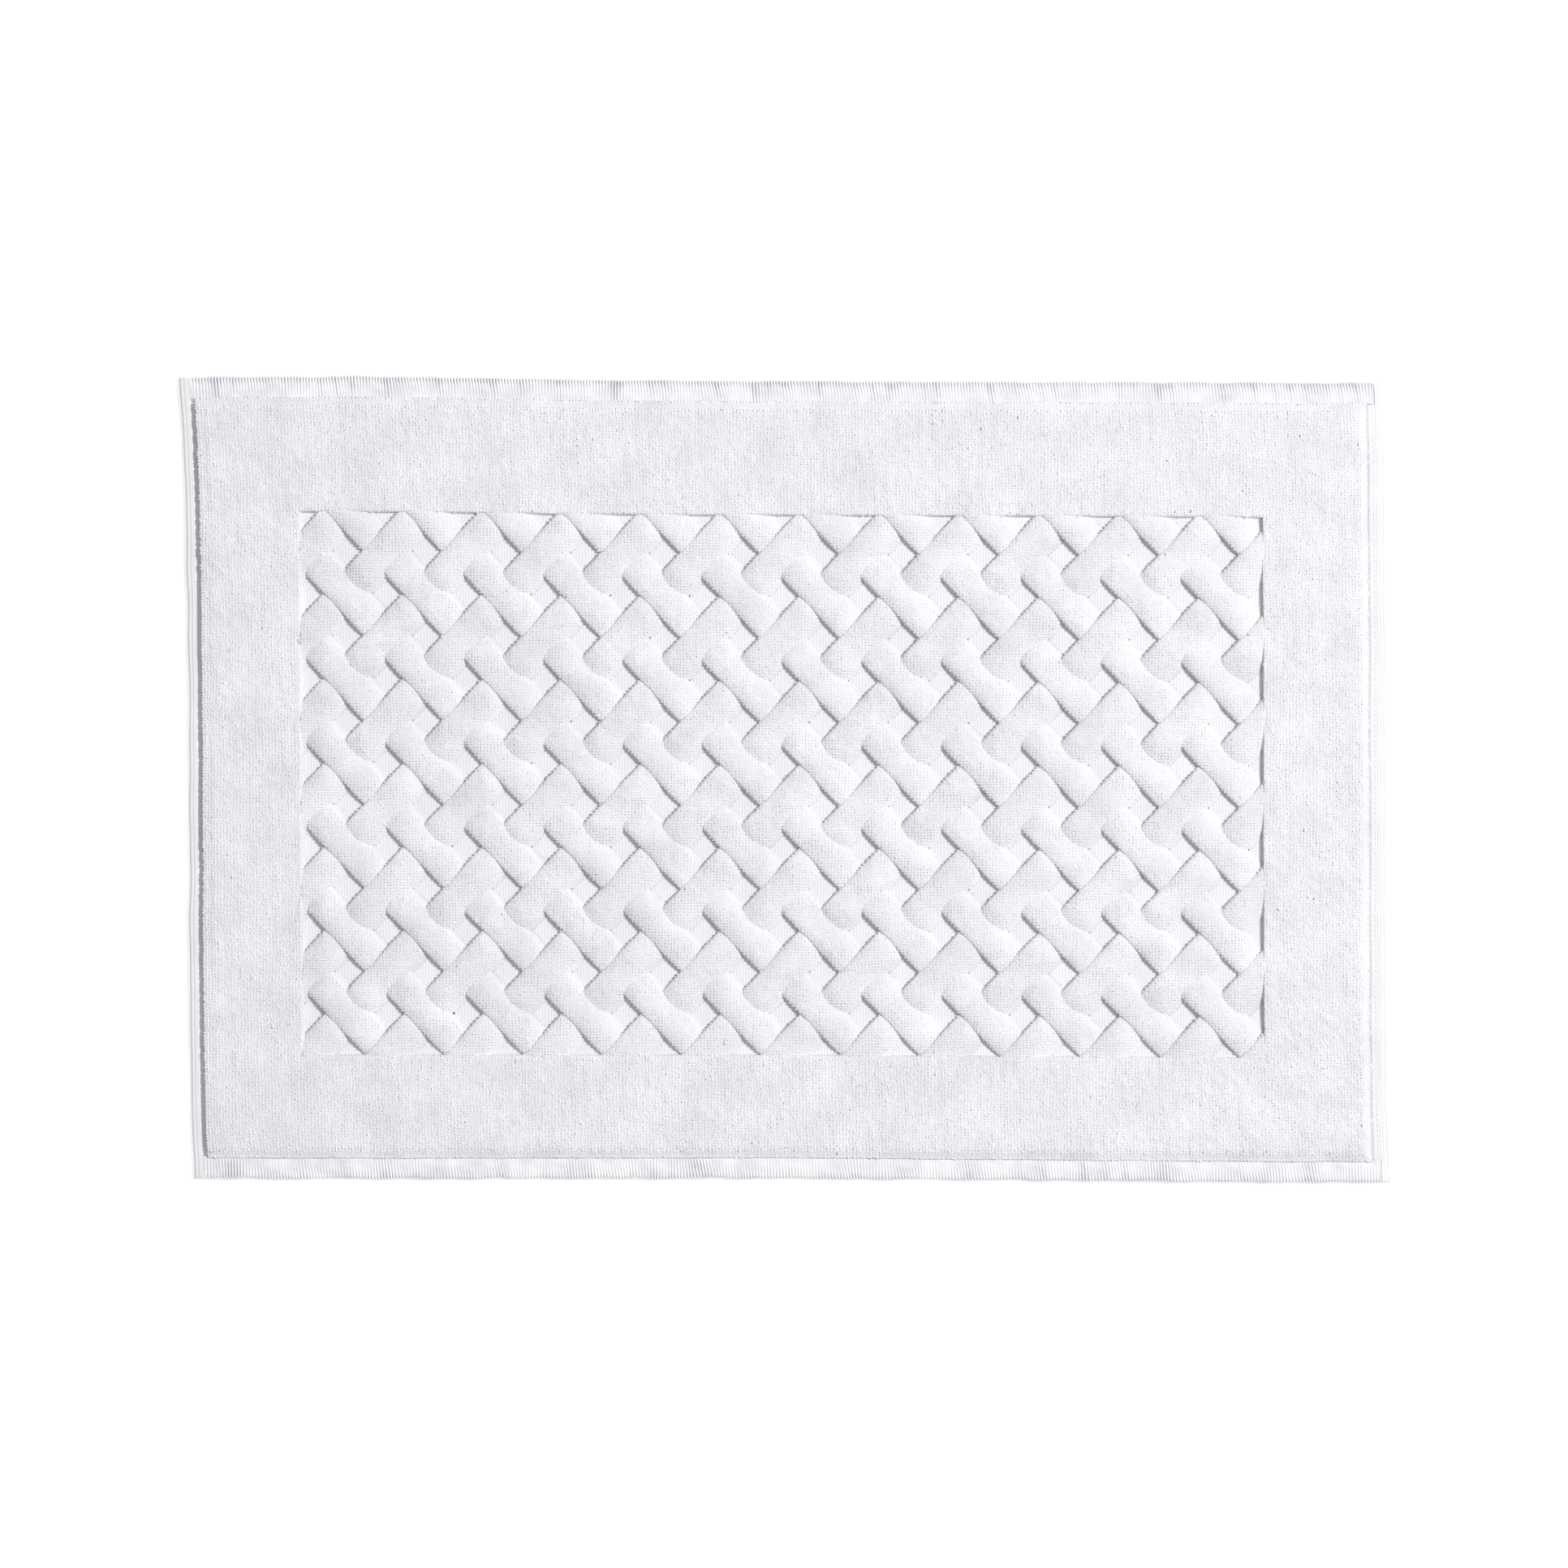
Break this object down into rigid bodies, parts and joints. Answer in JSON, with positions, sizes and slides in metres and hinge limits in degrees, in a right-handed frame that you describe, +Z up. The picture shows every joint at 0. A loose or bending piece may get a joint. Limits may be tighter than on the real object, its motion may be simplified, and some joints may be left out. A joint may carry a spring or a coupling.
{
  "type": "bath mat",
  "caption": "Rectangular terry bath mat with a raised basket weave in its centre, a plain pile border and flat hems, laid on a floor to stand on.",
  "frame": {"origin": "centre of the mat's footprint, on the floor", "axes": "+X along the long side, +Y along the short side towards the top end hem, +Z up out of the face pile"},
  "size_m": [0.75, 0.5, 0.0076],
  "materials": {
    "terry_pile": "white cotton terry loops, uncut, about 4 mm high",
    "strand_pile": "white cotton terry loops in close rows, crowned",
    "back_pile": "short white cotton terry loops",
    "ground_weave": "flat white cotton weave with fine ribs along Y",
    "side_tape": "dense white cotton selvedge weave with fine lines along the edge",
    "ribbed_hem": "flat white cotton weave, ribbed across the hem",
    "sewing_thread": "white polyester-cotton sewing thread"
  },
  "bodies": {
    "root": {"back_pile": "back_pile", "ground_cloth": "ground_weave", "border_pile": "terry_pile", "rising_strands": "strand_pile", "falling_strands": "strand_pile", "left_side_hem": "side_tape", "right_side_hem": "side_tape", "top_end_hem": "ribbed_hem", "bottom_end_hem": "ribbed_hem", "left_side_seam": "sewing_thread", "right_side_seam": "sewing_thread", "top_end_seam": "sewing_thread", "bottom_end_seam": "sewing_thread"}
  },
  "joints": []
}
